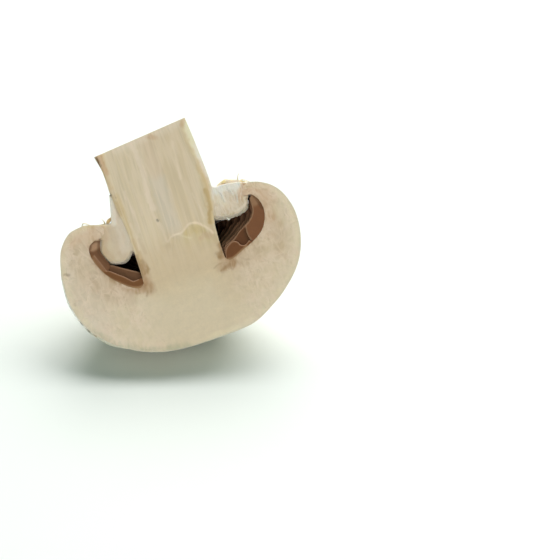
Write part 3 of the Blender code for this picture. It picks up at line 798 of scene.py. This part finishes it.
def veil_finish():
    material, start, shader = new_finish("mushroom veil")
    at = place_in(start)
    strands = at.stretched(1, 1, 0.2).cloud(0.6, 3.0, 0.8)
    lumps = at.cloud(1.4, 3.0, 1.0)
    wisps = (1 - 9 * (at.stretched(1, 1, 0.45).cloud(1.5, 3.0, 1.2) - 0.5).size()).step(0.0, 1.0)
    torn = painted(start, "torn")
    felt = painted(start, "tint", "Color").scaled(0.92 + 0.1 * strands * torn + 0.06 * lumps)
    feed(shader, Base_Color=felt.blend(opaque(*WISP_WHITE_AND_GLOW), 0.35 * wisps * torn),
         Roughness=0.65 + 0.2 * strands,
         Normal=relief(start, (0.03 + 0.08 * torn) * strands + 0.08 * lumps + 0.02 * wisps * torn))
    shader.inputs["Specular IOR Level"].default_value = 0.25
    shader.inputs["Sheen Weight"].default_value = 0.35
    translucent(shader, 0.4)
    return material


veil_material = veil_finish()
# the underside is dark brown: partly a spore stain, partly painted shade
veil_tint = covered(linear(*VEIL_WHITE), VEIL_UNDERSIDE_STAIN_AND_SHADE, underside)
veil = finished("felted_veil", veil_shape, veil_material,
                {"tint": veil_tint, "torn": np.full(len(veil_at), 0.6)}, "veil")

# %% [markdown]
# In front, where the knife went through, the veil is drawn from given outlines. Each side is a slab
# from the stem to the rim whose borders run on into the flesh, a hair behind the cut, so that no seam
# shows and the two never flicker in one plane. Its lower lip is rolled back, and its face has
# shallow furrows. Its colours come from the same coats as the flesh, so that they pass into each other.

# %% The cut ends of the veil
WEB_CELL, WEB_FRONT, WEB_THICKNESS, STEM_SIDE = 0.16, 0.05, 2.5, 8.2


def slab(outline, front, thick):
    """A slab parallel to the cut, from its outline and the depth of its front."""
    shape = bmesh.new()
    face = shape.faces.new([shape.verts.new((p.x, front, p.y)) for p in outline])
    made = bmesh.ops.extrude_face_region(shape, geom=[face])["geom"]
    back = [v for v in made if isinstance(v, bmesh.types.BMVert)]
    bmesh.ops.translate(shape, verts=back, vec=(0, thick, 0))
    bmesh.ops.recalc_face_normals(shape, faces=shape.faces)
    bmesh.ops.triangulate(shape, faces=shape.faces)
    return shape


def cut_veil(name, outline, lip, furrow, ragged, torn):
    """One cut end of the veil; furrow and ragged are depths in millimetres, torn is 0 for smooth felt."""
    shape = remeshed(slab(curve(outline, closed=True), WEB_FRONT, WEB_THICKNESS), name, WEB_CELL)
    at, _ = points_of(shape)
    lip_away, _ = nearest_on(at[:, (0, 2)], lip)
    front = 1 - smoothstep(0.0, 1.2, at[:, 1] - WEB_FRONT)
    hanging = grain(at * (1, 0.6, 0.22), 1.1, seed=5)
    move = np.zeros(at.shape)
    move[:, 1] = front * (0.9 * (1 - smoothstep(0.0, 0.8, lip_away)) ** 2
                          + furrow * np.maximum(0, hanging) * smoothstep(0.1, 0.7, lip_away))
    move[:, 2] = ragged * grain(at, 0.55, seed=8) * (1 - smoothstep(0.25, 0.7, lip_away))
    stem_side = np.sign(at[:, 0]) * STEM_SIDE - at[:, 0]        # the web thins out on the stem's flank
    move[:, 0] = stem_side * smoothstep(0.2, WEB_THICKNESS, at[:, 1]) * smoothstep(26.5, 28.0, at[:, 2])
    moved(shape, move)
    colour = coated(cut_colours(at), at[:, (0, 2)], VEIL_COATS, 0.08 * grain(at, 0.9, seed=11))
    piece = finished(name, shape, veil_material, {"tint": colour, "torn": np.full(len(at), torn)}, "veil")


cut_veil("cut_veil_right",
         [(8.3, 21.85), (8.6, 23.4), (9.2, 26.0), (9.4, 28.0), (10.3, 27.5), (11.8, 27.5), (13.4, 27.3),
          (14.8, 27.1), (16.2, 26.4), (16.4, 25.4), (16.0, 24.4)] + LIP_RIGHT[::-PER_SPAN],
         LIP_RIGHT, furrow=0.3, ragged=0.16, torn=1.0)
cut_veil("cut_veil_left",
         LIP_LEFT[::PER_SPAN] + [(-7.6, 20.6), (-7.6, 23.0), (-7.9, 26.0), (-8.5, 30.0), (-8.9, 32.0),
                                 (-9.2, 31.0), (-9.6, 29.4), (-10.0, 27.9), (-10.5, 26.6), (-12.0, 26.9),
                                 (-13.2, 27.2), (-13.8, 26.3), (-13.8, 25.2)],
         LIP_LEFT, furrow=0.08, ragged=0.03, torn=0.15)

# %% [markdown]
# ## The gills
# Under the cap hang the gills, thin plates that stand round the stem like the pages of a book, with
# shorter ones between them. Each plate of the solid model is a stiff board. A real gill is thick
# where it grows from the cap and thins towards its free edge, it waves a little, and its root is
# sunk in the flesh. We move the points of a finely netted copy to get this. All of them share one
# way of looking at a gill: how far round the stem it stands, its radius and height in its own
# plane, and the distance from its root. Real gills stand closer than the solid model's, so each gets
# a shallower neighbour, called a lamellula, which is a copy turned a little about the stem.

# %% Refine the gills
GILLS = 23
GILL_CELL = 0.26
GILL_STEP = math.pi / (GILLS - 1)
LAMELLULA_TURN, LAMELLULA_DEPTH = GILL_STEP * 0.25, 0.6


def bed_at(angle):
    """The root line of a gill at this angle round the stem, as radius and height."""
    share = (1 + math.cos(angle)) / 2
    return [Vector((share * a.x - (1 - share) * b.x, share * a.y + (1 - share) * b.y))
            for a, b in zip(BED_RIGHT, BED_LEFT)]


def gill_rise(angle):
    """How much deeper the gills grow away from the right end of the cut, in millimetres."""
    return 1.5 * float(smoothstep(0.0, 0.6, angle)) * (1 - float(smoothstep(1.5, 2.6, angle)))


def fine_gill(node, angle, seed, turn, depth):
    """Net a gill in its own plane, wave, thin and root it, make it this share as deep, and turn it."""
    shape = solid_copy(node)
    bmesh.ops.rotate(shape, cent=(0, 0, 0), matrix=Matrix.Rotation(-angle, 3, "Z"), verts=shape.verts)
    shape = remeshed(shape, node, GILL_CELL)
    at, _ = points_of(shape)
    plane, side = at[:, (0, 2)], at[:, 1]
    away, root = nearest_on(plane, bed_at(angle))
    free = smoothstep(0.3, 3.2, away)
    plane = root + (plane - root) * depth
    sink = 0.5 * (1 - smoothstep(0.3, 1.0, away))
    plane += (root - plane) / np.maximum(away, 0.1)[:, None] * sink[:, None]
    plane[:, 1] += gill_rise(angle) * free * depth
    ruffle = np.c_[plane, np.full(len(plane), 3.0 * seed)]
    side = side * (1 - 0.45 * free) + 0.16 * free * grain(ruffle, 3.0, seed=seed) + 0.03 * grain(ruffle, 0.9)
    for vertex, x, y, z in zip(shape.verts, plane[:, 0], side, plane[:, 1]):
        vertex.co = x, y, z
    bmesh.ops.rotate(shape, cent=(0, 0, 0), matrix=Matrix.Rotation(angle + turn, 3, "Z"), verts=shape.verts)
    return shape, free, away


LINE_SPACING = 0.3


def gill_finish():
    """Brown, with veins, clouds, and fine lines along the gill's root: lighter edges with painted shade
    between them.
    """
    material, start, shader = new_finish("mushroom gills")
    at = place_in(start)
    lined = painted(start, "free")
    veins = at.cloud(0.6, 4.0, 1.0)
    clouds = at.cloud(2.5)
    lines = (painted(start, "depth") * (2 * math.pi / LINE_SPACING) + 2.5 * veins).wave() * lined
    tint = painted(start, "tint", "Color")
    feed(shader, Base_Color=tint.scaled(0.82 + 0.22 * clouds + 0.18 * veins + 0.4 * lines),
         Roughness=0.55 + 0.25 * veins,
         Normal=relief(start, 0.06 * veins + 0.03 * lines))
    shader.inputs["Specular IOR Level"].default_value = 0.3
    return material


def gill_shade(shape):
    """Painted light and shade on the gills: lightest on the right beside the stem, darker on the left and far
    back.
    """
    at, _ = points_of(shape)
    radius = np.hypot(at[:, 0], at[:, 1])
    return (np.where(at[:, 0] > 0, 0.9 + 1.0 * (1 - smoothstep(9.0, 11.0, radius)), 0.5)
            + 0.5 * smoothstep(8.5, 14.0, radius) * (1 - smoothstep(0.5, 8.0, at[:, 1]) * 0.5))


gill_material = gill_finish()
GILL_EDGE_TINT, GILL_ROOT_TINT = (168, 128, 98), (92, 62, 42)


def add_gill(name, node, angle, seed, turn=0.0, depth=1.0):
    shape, free, away = fine_gill(node, angle, seed, turn, depth)
    colour = covered(linear(*GILL_ROOT_TINT), GILL_EDGE_TINT, free) * gill_shade(shape)[:, None]
    gill = finished(name, shape, gill_material, {"tint": colour, "free": free, "depth": away}, node)


def add_pair(long_name, small_name, node, angle, seed):
    """A gill and its lamellula."""
    add_gill(long_name, node, angle, seed)
    add_gill(small_name, node, angle, 50 + seed, LAMELLULA_TURN, LAMELLULA_DEPTH)


for k in range(2, GILLS):
    add_pair(f"thin_gill_{k:02}", f"lamellula_{k:02}", f"gill_{k:02}", (k - 1) * GILL_STEP, k)
for k in range(1, GILLS):
    add_pair(f"thin_short_gill_{k:02}", f"short_lamellula_{k:02}", f"short_gill_{k:02}",
             (k - 0.5) * GILL_STEP, 100 + k)

# %% [markdown]
# ## The gills in the cut
# The knife ran almost along the first gill on each side, so there the brown plates lie flat in the
# cut, sliced, bent and overlapping, each with a pale edge where it was cut. A board would show one
# clean outline. We draw each leaf's outline, give it a slab with a fine net, round its border and
# let it overlap the next.
# Their pale cut edges are partly a painted highlight; their dark edges are painted shade in creases.

# %% Leaves from outlines
LEAF_CELL = 0.13
GILL_PALE = (172, 132, 102)


def leaf(name, node, outline, front, thick, tint, pale_edges, shaded_edges=(), soft_edges=(),
         top=None, flesh=None):
    """A sliced gill parallel to the cut.

    The edges are routes. top is a width, a tint and a route, for a paler stretch. flesh is the route of
    flesh that has grown over the leaf.
    """
    outline = curve(outline, closed=True, per_span=4)
    shape = remeshed(slab(outline, front, thick), name, LEAF_CELL)
    at, _ = points_of(shape)
    xz = at[:, (0, 2)]
    border, _ = nearest_on(xz, outline + outline[:1])
    bow = 0.08 * grain(at * (1, 0, 1), 3.0, seed=len(name)) * smoothstep(0.3, 1.2, border)
    bow += 0.015 * grain(at, 0.7)
    round_off = 0.08 * (1 - smoothstep(0.0, 0.25, border)) * np.sign(front + thick / 2 - at[:, 1])
    for vertex, shift in zip(shape.verts, bow + round_off):
        vertex.co.y += shift
    colour = np.tile(linear(*tint), (len(at), 1))
    if top:
        reach, top_tint, route = top
        colour = coated(colour, xz, [(top_tint, 0.9, reach, 2 * reach + 0.2, curve(route))])
    wander = 0.05 * grain(at, 0.8, seed=9)
    # shaded edges: painted shade in the creases; pale edges: the cut edge, partly a painted highlight
    for edges, *brush in ((shaded_edges, DARK_BROWN, 0.6, 0.08, 0.45),
                          (soft_edges, EDGE_BROWN, 0.8, 0.1, 0.5),
                          (pale_edges, GILL_PALE, 0.85, 0.08, 0.26)):
        colour = coated(colour, xz, [(*brush, curve(edge)) for edge in edges], wander)
    if flesh:
        colour = coated(colour, xz, [(PINKISH, 1.0, 0.45, 0.6, curve(flesh))], wander)
    values = {"tint": colour, "free": np.zeros(len(at)), "depth": border}
    piece = finished(name, shape, gill_material, values, node)


# %% [markdown]
# On the right three leaves overlap: the upper one comes down from the rim, the middle one lies deeper
# behind it, and the lower one runs along the bed to the stem.

# %% The three leaves on the right
UPPER_RIGHT_EDGE = [(16.4, 23.9), (16.0, 23.5), (15.9, 22.5), (15.8, 21.2), (15.2, 20.1), (14.2, 19.2),
                    (13.6, 18.9)]
UPPER_RIGHT_END = [(13.6, 18.9), (13.45, 18.3), (13.4, 17.2), (13.5, 16.6), (13.7, 15.9)]
MIDDLE_RIGHT_EDGE = [(13.9, 19.0), (13.6, 18.9), (12.2, 18.2), (11.2, 17.4), (10.4, 16.7)]
LOWER_RIGHT_EDGE = [(8.2, 14.2), (8.3, 15.0), (8.8, 15.8), (9.6, 16.4), (10.4, 16.7), (11.2, 16.3),
                    (11.5, 15.7), (12.0, 15.4), (12.5, 15.4), (13.0, 15.7), (13.4, 15.9)]
leaf("sliced_gill_upper_right", "gill_01",
     UPPER_RIGHT_EDGE[:-1] + UPPER_RIGHT_END
     + [(14.4, 15.4), (15.9, 16.4), (17.1, 17.8), (17.9, 19.4), (18.1, 21.0), (17.7, 23.0), (17.0, 24.3),
        (16.5, 24.5)],
     front=0.07, thick=0.5, tint=(131, 85, 54),
     pale_edges=[UPPER_RIGHT_EDGE, UPPER_RIGHT_END],
     shaded_edges=[[(16.7, 23.9), (17.2, 22.8), (17.6, 21.0)]],
     top=(0.6, (162, 122, 90), [(16.3, 23.8), (16.6, 22.8)]))
leaf("sliced_gill_middle_right", "gill_01",
     MIDDLE_RIGHT_EDGE + [(10.0, 15.6), (10.8, 14.0), (12.2, 14.3), (13.8, 15.1), (14.5, 16.2), (14.4, 17.8)],
     front=0.55, thick=0.45, tint=(106, 65, 36),
     pale_edges=[MIDDLE_RIGHT_EDGE],
     shaded_edges=[[(13.4, 18.4), (13.2, 17.0), (13.3, 16.0)]])
leaf("sliced_gill_lower_right", "gill_01",
     LOWER_RIGHT_EDGE + [(13.9, 15.2), (12.7, 14.5), (11.2, 13.8), (9.5, 13.2), (8.2, 13.3), (7.8, 13.9)],
     front=0.05, thick=0.4, tint=(118, 73, 40),
     pale_edges=[LOWER_RIGHT_EDGE],
     soft_edges=[[(8.5, 13.6), (9.5, 13.6), (11.0, 14.2), (12.5, 14.9)]])

# %% [markdown]
# On the left the upper leaf hangs from the rim, where the flesh has grown over its top, the outer one
# runs along the bed down to the stem, and the inner one lies deeper, between it and the veil.

# %% The three leaves on the left
UPPER_LEFT_EDGE = [(-15.2, 21.8), (-14.6, 20.2), (-14.0, 18.5)]
UPPER_LEFT_INSIDE = [(-13.6, 23.9), (-14.1, 22.3), (-13.7, 20.8), (-13.0, 19.6)]
OUTER_LEFT_EDGE = [(-13.9, 18.5), (-13.3, 18.3), (-12.0, 17.2), (-11.0, 16.4), (-10.3, 15.7),
                   (-9.7, 15.2), (-8.8, 15.2)]
INNER_LEFT_EDGE = [(-13.0, 19.4), (-12.0, 18.9), (-10.8, 18.1), (-9.5, 17.3), (-8.1, 16.4)]
leaf("sliced_gill_upper_left", "gill_23",
     [(-13.9, 24.7), (-13.3, 24.3), (-13.8, 22.3), (-13.4, 20.8), (-12.9, 19.5), (-13.2, 18.8),
      (-13.9, 18.3), (-14.4, 19.4), (-15.2, 21.3), (-15.9, 22.8), (-15.4, 24.0), (-14.7, 24.5)],
     front=0.10, thick=0.5, tint=(122, 82, 54),
     pale_edges=[UPPER_LEFT_EDGE],
     shaded_edges=[UPPER_LEFT_INSIDE, [(-15.5, 23.3), (-15.1, 24.1), (-14.2, 24.35), (-13.5, 24.1)]],
     top=(0.45, (186, 146, 114), [(-15.0, 23.5), (-14.0, 23.7)]),
     flesh=[(-15.6, 24.6), (-14.6, 25.0), (-13.2, 24.8)])
leaf("sliced_gill_outer_left", "gill_23",
     [(-15.8, 22.4), (-15.2, 21.8), (-14.3, 19.4), (-13.8, 18.5)] + OUTER_LEFT_EDGE[1:]
     + [(-7.6, 15.2), (-7.6, 13.6), (-9.0, 13.2), (-10.4, 13.8), (-11.8, 14.9), (-13.1, 16.0),
        (-14.2, 17.1), (-15.0, 18.4), (-15.6, 19.7), (-16.0, 21.0)],
     front=0.05, thick=0.4, tint=(124, 80, 44),
     pale_edges=[OUTER_LEFT_EDGE],
     soft_edges=[[(-15.8, 21.0), (-15.5, 19.9), (-14.9, 18.4), (-14.0, 17.1), (-12.9, 16.0), (-11.6, 14.9),
                  (-10.3, 14.0), (-9.0, 13.6), (-7.9, 13.7)]],
     top=(0.25, (146, 106, 74), [(-15.3, 21.4), (-14.8, 19.9), (-14.3, 18.9)]))
leaf("sliced_gill_inner_left", "gill_23",
     INNER_LEFT_EDGE + [(-7.9, 15.4), (-8.6, 14.6), (-9.8, 14.9), (-11.0, 15.9), (-12.2, 16.8),
                        (-13.4, 17.9)],
     front=0.5, thick=0.45, tint=(112, 76, 50),
     pale_edges=[INNER_LEFT_EDGE],
     shaded_edges=[[(-12.6, 18.4), (-11.2, 17.2), (-10.2, 16.2), (-9.4, 15.6)]])

# %% [markdown]
# ## Loose shreds
# Where the rim tore from the veil, thin dry flakes and curled threads stand up, and a bead of veil
# hangs from the torn lip. Each is a ribbon: an edge swept along a short route in space, which is
# given a thickness and then a rounder net.

# %% Ribbons
def ribbon(shape, route, widths, across, thick):
    """Sweep an edge along the route and add the ribbon to the shape."""
    across = Vector(across).normalized()
    route = curve(route, per_span=4)
    strip = bmesh.new()
    edge = None
    for k, place in enumerate(route):
        share = k / (len(route) - 1) * (len(widths) - 1)
        width = float(np.interp(share, range(len(widths)), widths))
        curl = 0.35 * width * math.sin(3 * share)
        ends = (place - across * width / 2 + Vector((0, curl, 0)), place + across * width / 2)
        if edge is None:
            edge = strip.edges.new([strip.verts.new(end) for end in ends])
            continue
        made = bmesh.ops.extrude_edge_only(strip, edges=[edge])["geom"]
        edge = next(e for e in made if isinstance(e, bmesh.types.BMEdge))
        new = sorted((v for v in made if isinstance(v, bmesh.types.BMVert)), key=lambda v: v.co.dot(across))
        for vertex, end in zip(new, ends):
            vertex.co = end
    bmesh.ops.recalc_face_normals(strip, faces=strip.faces)
    bmesh.ops.solidify(strip, geom=strip.faces[:], thickness=thick)
    bmesh.ops.subdivide_edges(strip, edges=strip.edges[:], cuts=1, use_grid_fill=True)
    smoothed(strip, strip.verts, 2)
    bmesh.ops.recalc_face_normals(strip, faces=strip.faces)
    mesh = bpy.data.meshes.new("ribbon")
    strip.to_mesh(mesh)
    strip.free()
    shape.from_mesh(mesh)
    bpy.data.meshes.remove(mesh)


def shreds(name, tint, *ribbons):
    """One piece of several ribbons, each a route, its widths, the way across it and its thickness."""
    shape = bmesh.new()
    for route, widths, across, thick in ribbons:
        ribbon(shape, route, widths, across, thick)
    colour = np.tile(linear(*tint), (len(shape.verts), 1))
    piece = finished(name, shape, veil_material, {"tint": colour})


FLAKE_TAN, FLAKE_GOLD_GLOW, FLAKE_RUST = (240, 224, 192), (240, 214, 150), (230, 190, 140)
THREAD_WHITE = (250, 240, 220)
shreds("rim_flakes", FLAKE_TAN,
       ([(14.3, 0.9, 27.0), (14.9, 0.7, 27.5), (15.1, 0.6, 28.1), (15.6, 0.6, 28.7)],
        (0.6, 0.6, 0.4, 0.1), (0.8, 1, 0), 0.07),
       ([(14.8, 1.0, 27.1), (15.7, 0.8, 27.4), (16.4, 0.9, 27.1), (17.2, 0.9, 26.5)],
        (0.3, 0.6, 0.5, 0.2), (0, 1, 0.8), 0.08),
       ([(-15.8, 1.0, 27.7), (-15.3, 0.8, 28.3), (-14.7, 0.8, 28.1), (-14.0, 0.9, 27.6)],
        (0.3, 0.7, 0.6, 0.2), (0, 1, 0.6), 0.08),
       ([(-11.4, 1.0, 26.8), (-11.4, 0.8, 27.5), (-11.7, 0.8, 28.1)],
        (0.6, 0.4, 0.1), (0.8, 1, 0), 0.07))
# their gold is partly painted glow, for the lamp behind shining through the thin flakes
shreds("glowing_golden_flakes", FLAKE_GOLD_GLOW,
       ([(10.8, 0.7, 27.6), (11.7, 0.6, 27.9), (12.7, 0.6, 28.1), (13.8, 0.7, 27.8)],
        (0.2, 0.6, 0.8, 0.4), (0, 0.6, 1), 0.10),
       ([(15.0, 0.6, 27.4), (15.8, 0.5, 27.0), (16.6, 0.6, 26.6)],
        (0.3, 0.6, 0.2), (0, 0.8, 0.8), 0.08))
shreds("rusty_flakes", FLAKE_RUST,
       ([(-11.2, 0.8, 26.7), (-10.8, 0.7, 27.2), (-10.3, 0.7, 27.5), (-9.8, 0.8, 27.9)],
        (0.5, 0.9, 0.8, 0.2), (0.3, 0.6, -0.7), 0.08),
       ([(12.2, 0.8, 27.5), (12.9, 0.7, 27.7), (13.7, 0.8, 27.7)],
        (0.2, 0.5, 0.3), (0, 0.6, 1), 0.07))
shreds("veil_threads", THREAD_WHITE,
       ([(10.6, 0.1, 21.3), (10.9, 0.0, 20.9), (11.1, 0.0, 20.65)], (0.35, 0.42, 0.2), (1, 0.2, 0), 0.25),
       ([(10.7, 0.02, 26.4), (11.1, -0.03, 25.4), (11.2, 0.0, 24.2)], (0.2, 0.3, 0.15), (1, 0, 0), 0.10),
       ([(12.3, 0.02, 26.4), (12.9, -0.02, 25.8), (13.1, 0.02, 25.2)], (0.2, 0.25, 0.1), (1, 0, 0.3), 0.08),
       ([(13.6, 0.03, 25.2), (13.7, -0.02, 24.3), (13.5, 0.02, 23.4)], (0.15, 0.2, 0.1), (1, 0, 0), 0.08))

# %% [markdown]
# ## Floor, light and camera
# The mushroom lies on a bright white table. A large soft lamp stands behind it on the right, high
# up, so that the far edges glow and the shadow falls towards us on the left. The sky around is
# dimmer and a little green, which tints that shadow, and a weak lamp in front, like a white card,
# lights the cut. The camera has a long lens and stands well back, so that near parts don't loom.

# %% The table
TABLE_HALF = 1.5                                     # metres from its middle to a side
TABLE_WHITE = (236, 242, 239)


def white_table():
    shape = bmesh.new()
    bmesh.ops.create_grid(shape, x_segments=1, y_segments=1, size=TABLE_HALF)
    table = new_object("table", shape)
    material, start, shader = new_finish("white table")
    at = start.node("ShaderNodeTexCoord", {}, {}, "Object")
    feed(shader, Roughness=0.45 + 0.1 * at.cloud(0.05))
    shader.inputs["Base Color"].default_value = opaque(*TABLE_WHITE)
    table.data.materials.append(material)
    print("table", 2 * TABLE_HALF, "m wide")


white_table()

# %% Sky and lamps
SKY_COLOUR, SKY_STRENGTH = (0.56, 1.0, 0.90, 1), 0.14
LAMP_DISTANCE = 0.9                                  # metres from the place that the lamps look at
LAMPS_AIM = Vector((0, 0, 0.015))
KEY_DIRECTION = (26.0, 56.0)                         # azimuth from straight behind to the right, height
KEY_SIZE, KEY_POWER, KEY_COLOUR = (1.4, 1.0), 14.2, (1.0, 0.965, 0.94)
CARD_DIRECTION = (195.0, 8.0)
CARD_SIZE, CARD_POWER, CARD_COLOUR = (0.7, 0.7), 3.92, (1.0, 0.93, 0.90)


def lamp(name, direction, size, power, colour):
    """A soft lamp that looks at the mushroom; azimuth 0 is straight behind it."""
    light = bpy.data.objects.new(name, bpy.data.lights.new(name, "AREA"))
    light.data.shape, light.data.energy, light.data.color = "ELLIPSE", power, colour
    light.data.size, light.data.size_y = size
    azimuth, height = map(math.radians, direction)
    level = math.cos(height)
    towards = Vector((math.sin(azimuth) * level, math.cos(azimuth) * level, math.sin(height)))
    facing = towards.to_track_quat("Z", "Y").to_matrix().to_4x4()
    light.matrix_world = Matrix.Translation(LAMPS_AIM + towards * LAMP_DISTANCE) @ facing
    bpy.context.scene.collection.objects.link(light)
    print(name, "at", [round(x, 2) for x in light.matrix_world.translation])


sky = bpy.data.worlds.new("sky")
sky.use_nodes = True
sky.node_tree.nodes["Background"].inputs["Color"].default_value = SKY_COLOUR
sky.node_tree.nodes["Background"].inputs["Strength"].default_value = SKY_STRENGTH
bpy.context.scene.world = sky
lamp("key", KEY_DIRECTION, KEY_SIZE, KEY_POWER, KEY_COLOUR)
lamp("white_card", CARD_DIRECTION, CARD_SIZE, CARD_POWER, CARD_COLOUR)

# %% The camera
LOOK_AT, UP = Vector((16.52, 0, 7.03)), Vector((0.3167, 0, 0.9485))
OFF_LEFT, OFF_BELOW = math.radians(9.0), math.radians(4.0)      # from square on to the cut
CAMERA_DISTANCE, CAMERA_LENS = 350.3, 120

camera = bpy.data.objects.new("camera", bpy.data.cameras.new("camera"))
bpy.context.scene.collection.objects.link(camera)
camera.data.lens, camera.data.clip_start = CAMERA_LENS, 0.01
back = upright @ Vector((-math.sin(OFF_LEFT), -math.cos(OFF_LEFT) * math.cos(OFF_BELOW),
                         -math.sin(OFF_BELOW)))
back.normalize()
right = (upright @ UP).cross(back).normalized()
camera.matrix_world = (Matrix.Translation(room_from_mushroom @ LOOK_AT + back * CAMERA_DISTANCE * MM)
                       @ Matrix((right, back.cross(right), back)).transposed().to_4x4())
bpy.context.scene.camera = camera
bpy.context.scene.view_settings.view_transform = "Standard"
print(f"camera looks down by {math.degrees(math.asin(back.z)):.0f} degrees")
